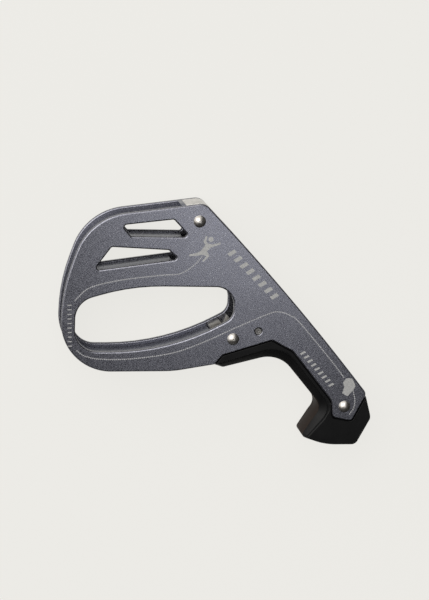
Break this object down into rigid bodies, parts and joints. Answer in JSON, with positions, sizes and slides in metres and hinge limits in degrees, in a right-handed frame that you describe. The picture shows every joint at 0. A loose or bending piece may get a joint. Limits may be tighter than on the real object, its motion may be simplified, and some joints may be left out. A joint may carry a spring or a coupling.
{
  "type": "belay device",
  "caption": "Passive rope belay device: two aluminium side plates with a carabiner slot and a rope channel between them, steel friction inserts and a black plastic lever handle.",
  "frame": {"origin": "under the middle of the object's plan, on the surface that it lies on", "axes": "+X from the closed end of the carabiner slot to the hook of the handle, +Y up to the rope channel's mouth, +Z out of the front plate"},
  "size_m": [0.1192, 0.0924, 0.0188],
  "materials": {
    "anodised_aluminium": "blue-grey anodised, fine metallic grain",
    "core_aluminium": "blue-grey anodised, darker in the groove",
    "steel": "stainless, brushed",
    "rivet_steel": "stainless, polished domes",
    "black_plastic": "matte, fine moulded texture",
    "pad_plastic": "smooth, slightly glossy"
  },
  "bodies": {
    "root": {"front_side_plate": "anodised_aluminium", "rear_side_plate": "anodised_aluminium", "core_frame": "core_aluminium", "top_wear_insert": "steel", "brake_insert": "steel", "handle_body": "black_plastic", "thumb_pad": "pad_plastic", "handle_sleeve": "steel", "top_rivet": "rivet_steel", "brake_insert_rivet": "rivet_steel", "handle_rivet": "rivet_steel", "insert_pin": "rivet_steel", "core_dowels": "steel"}
  },
  "joints": []
}
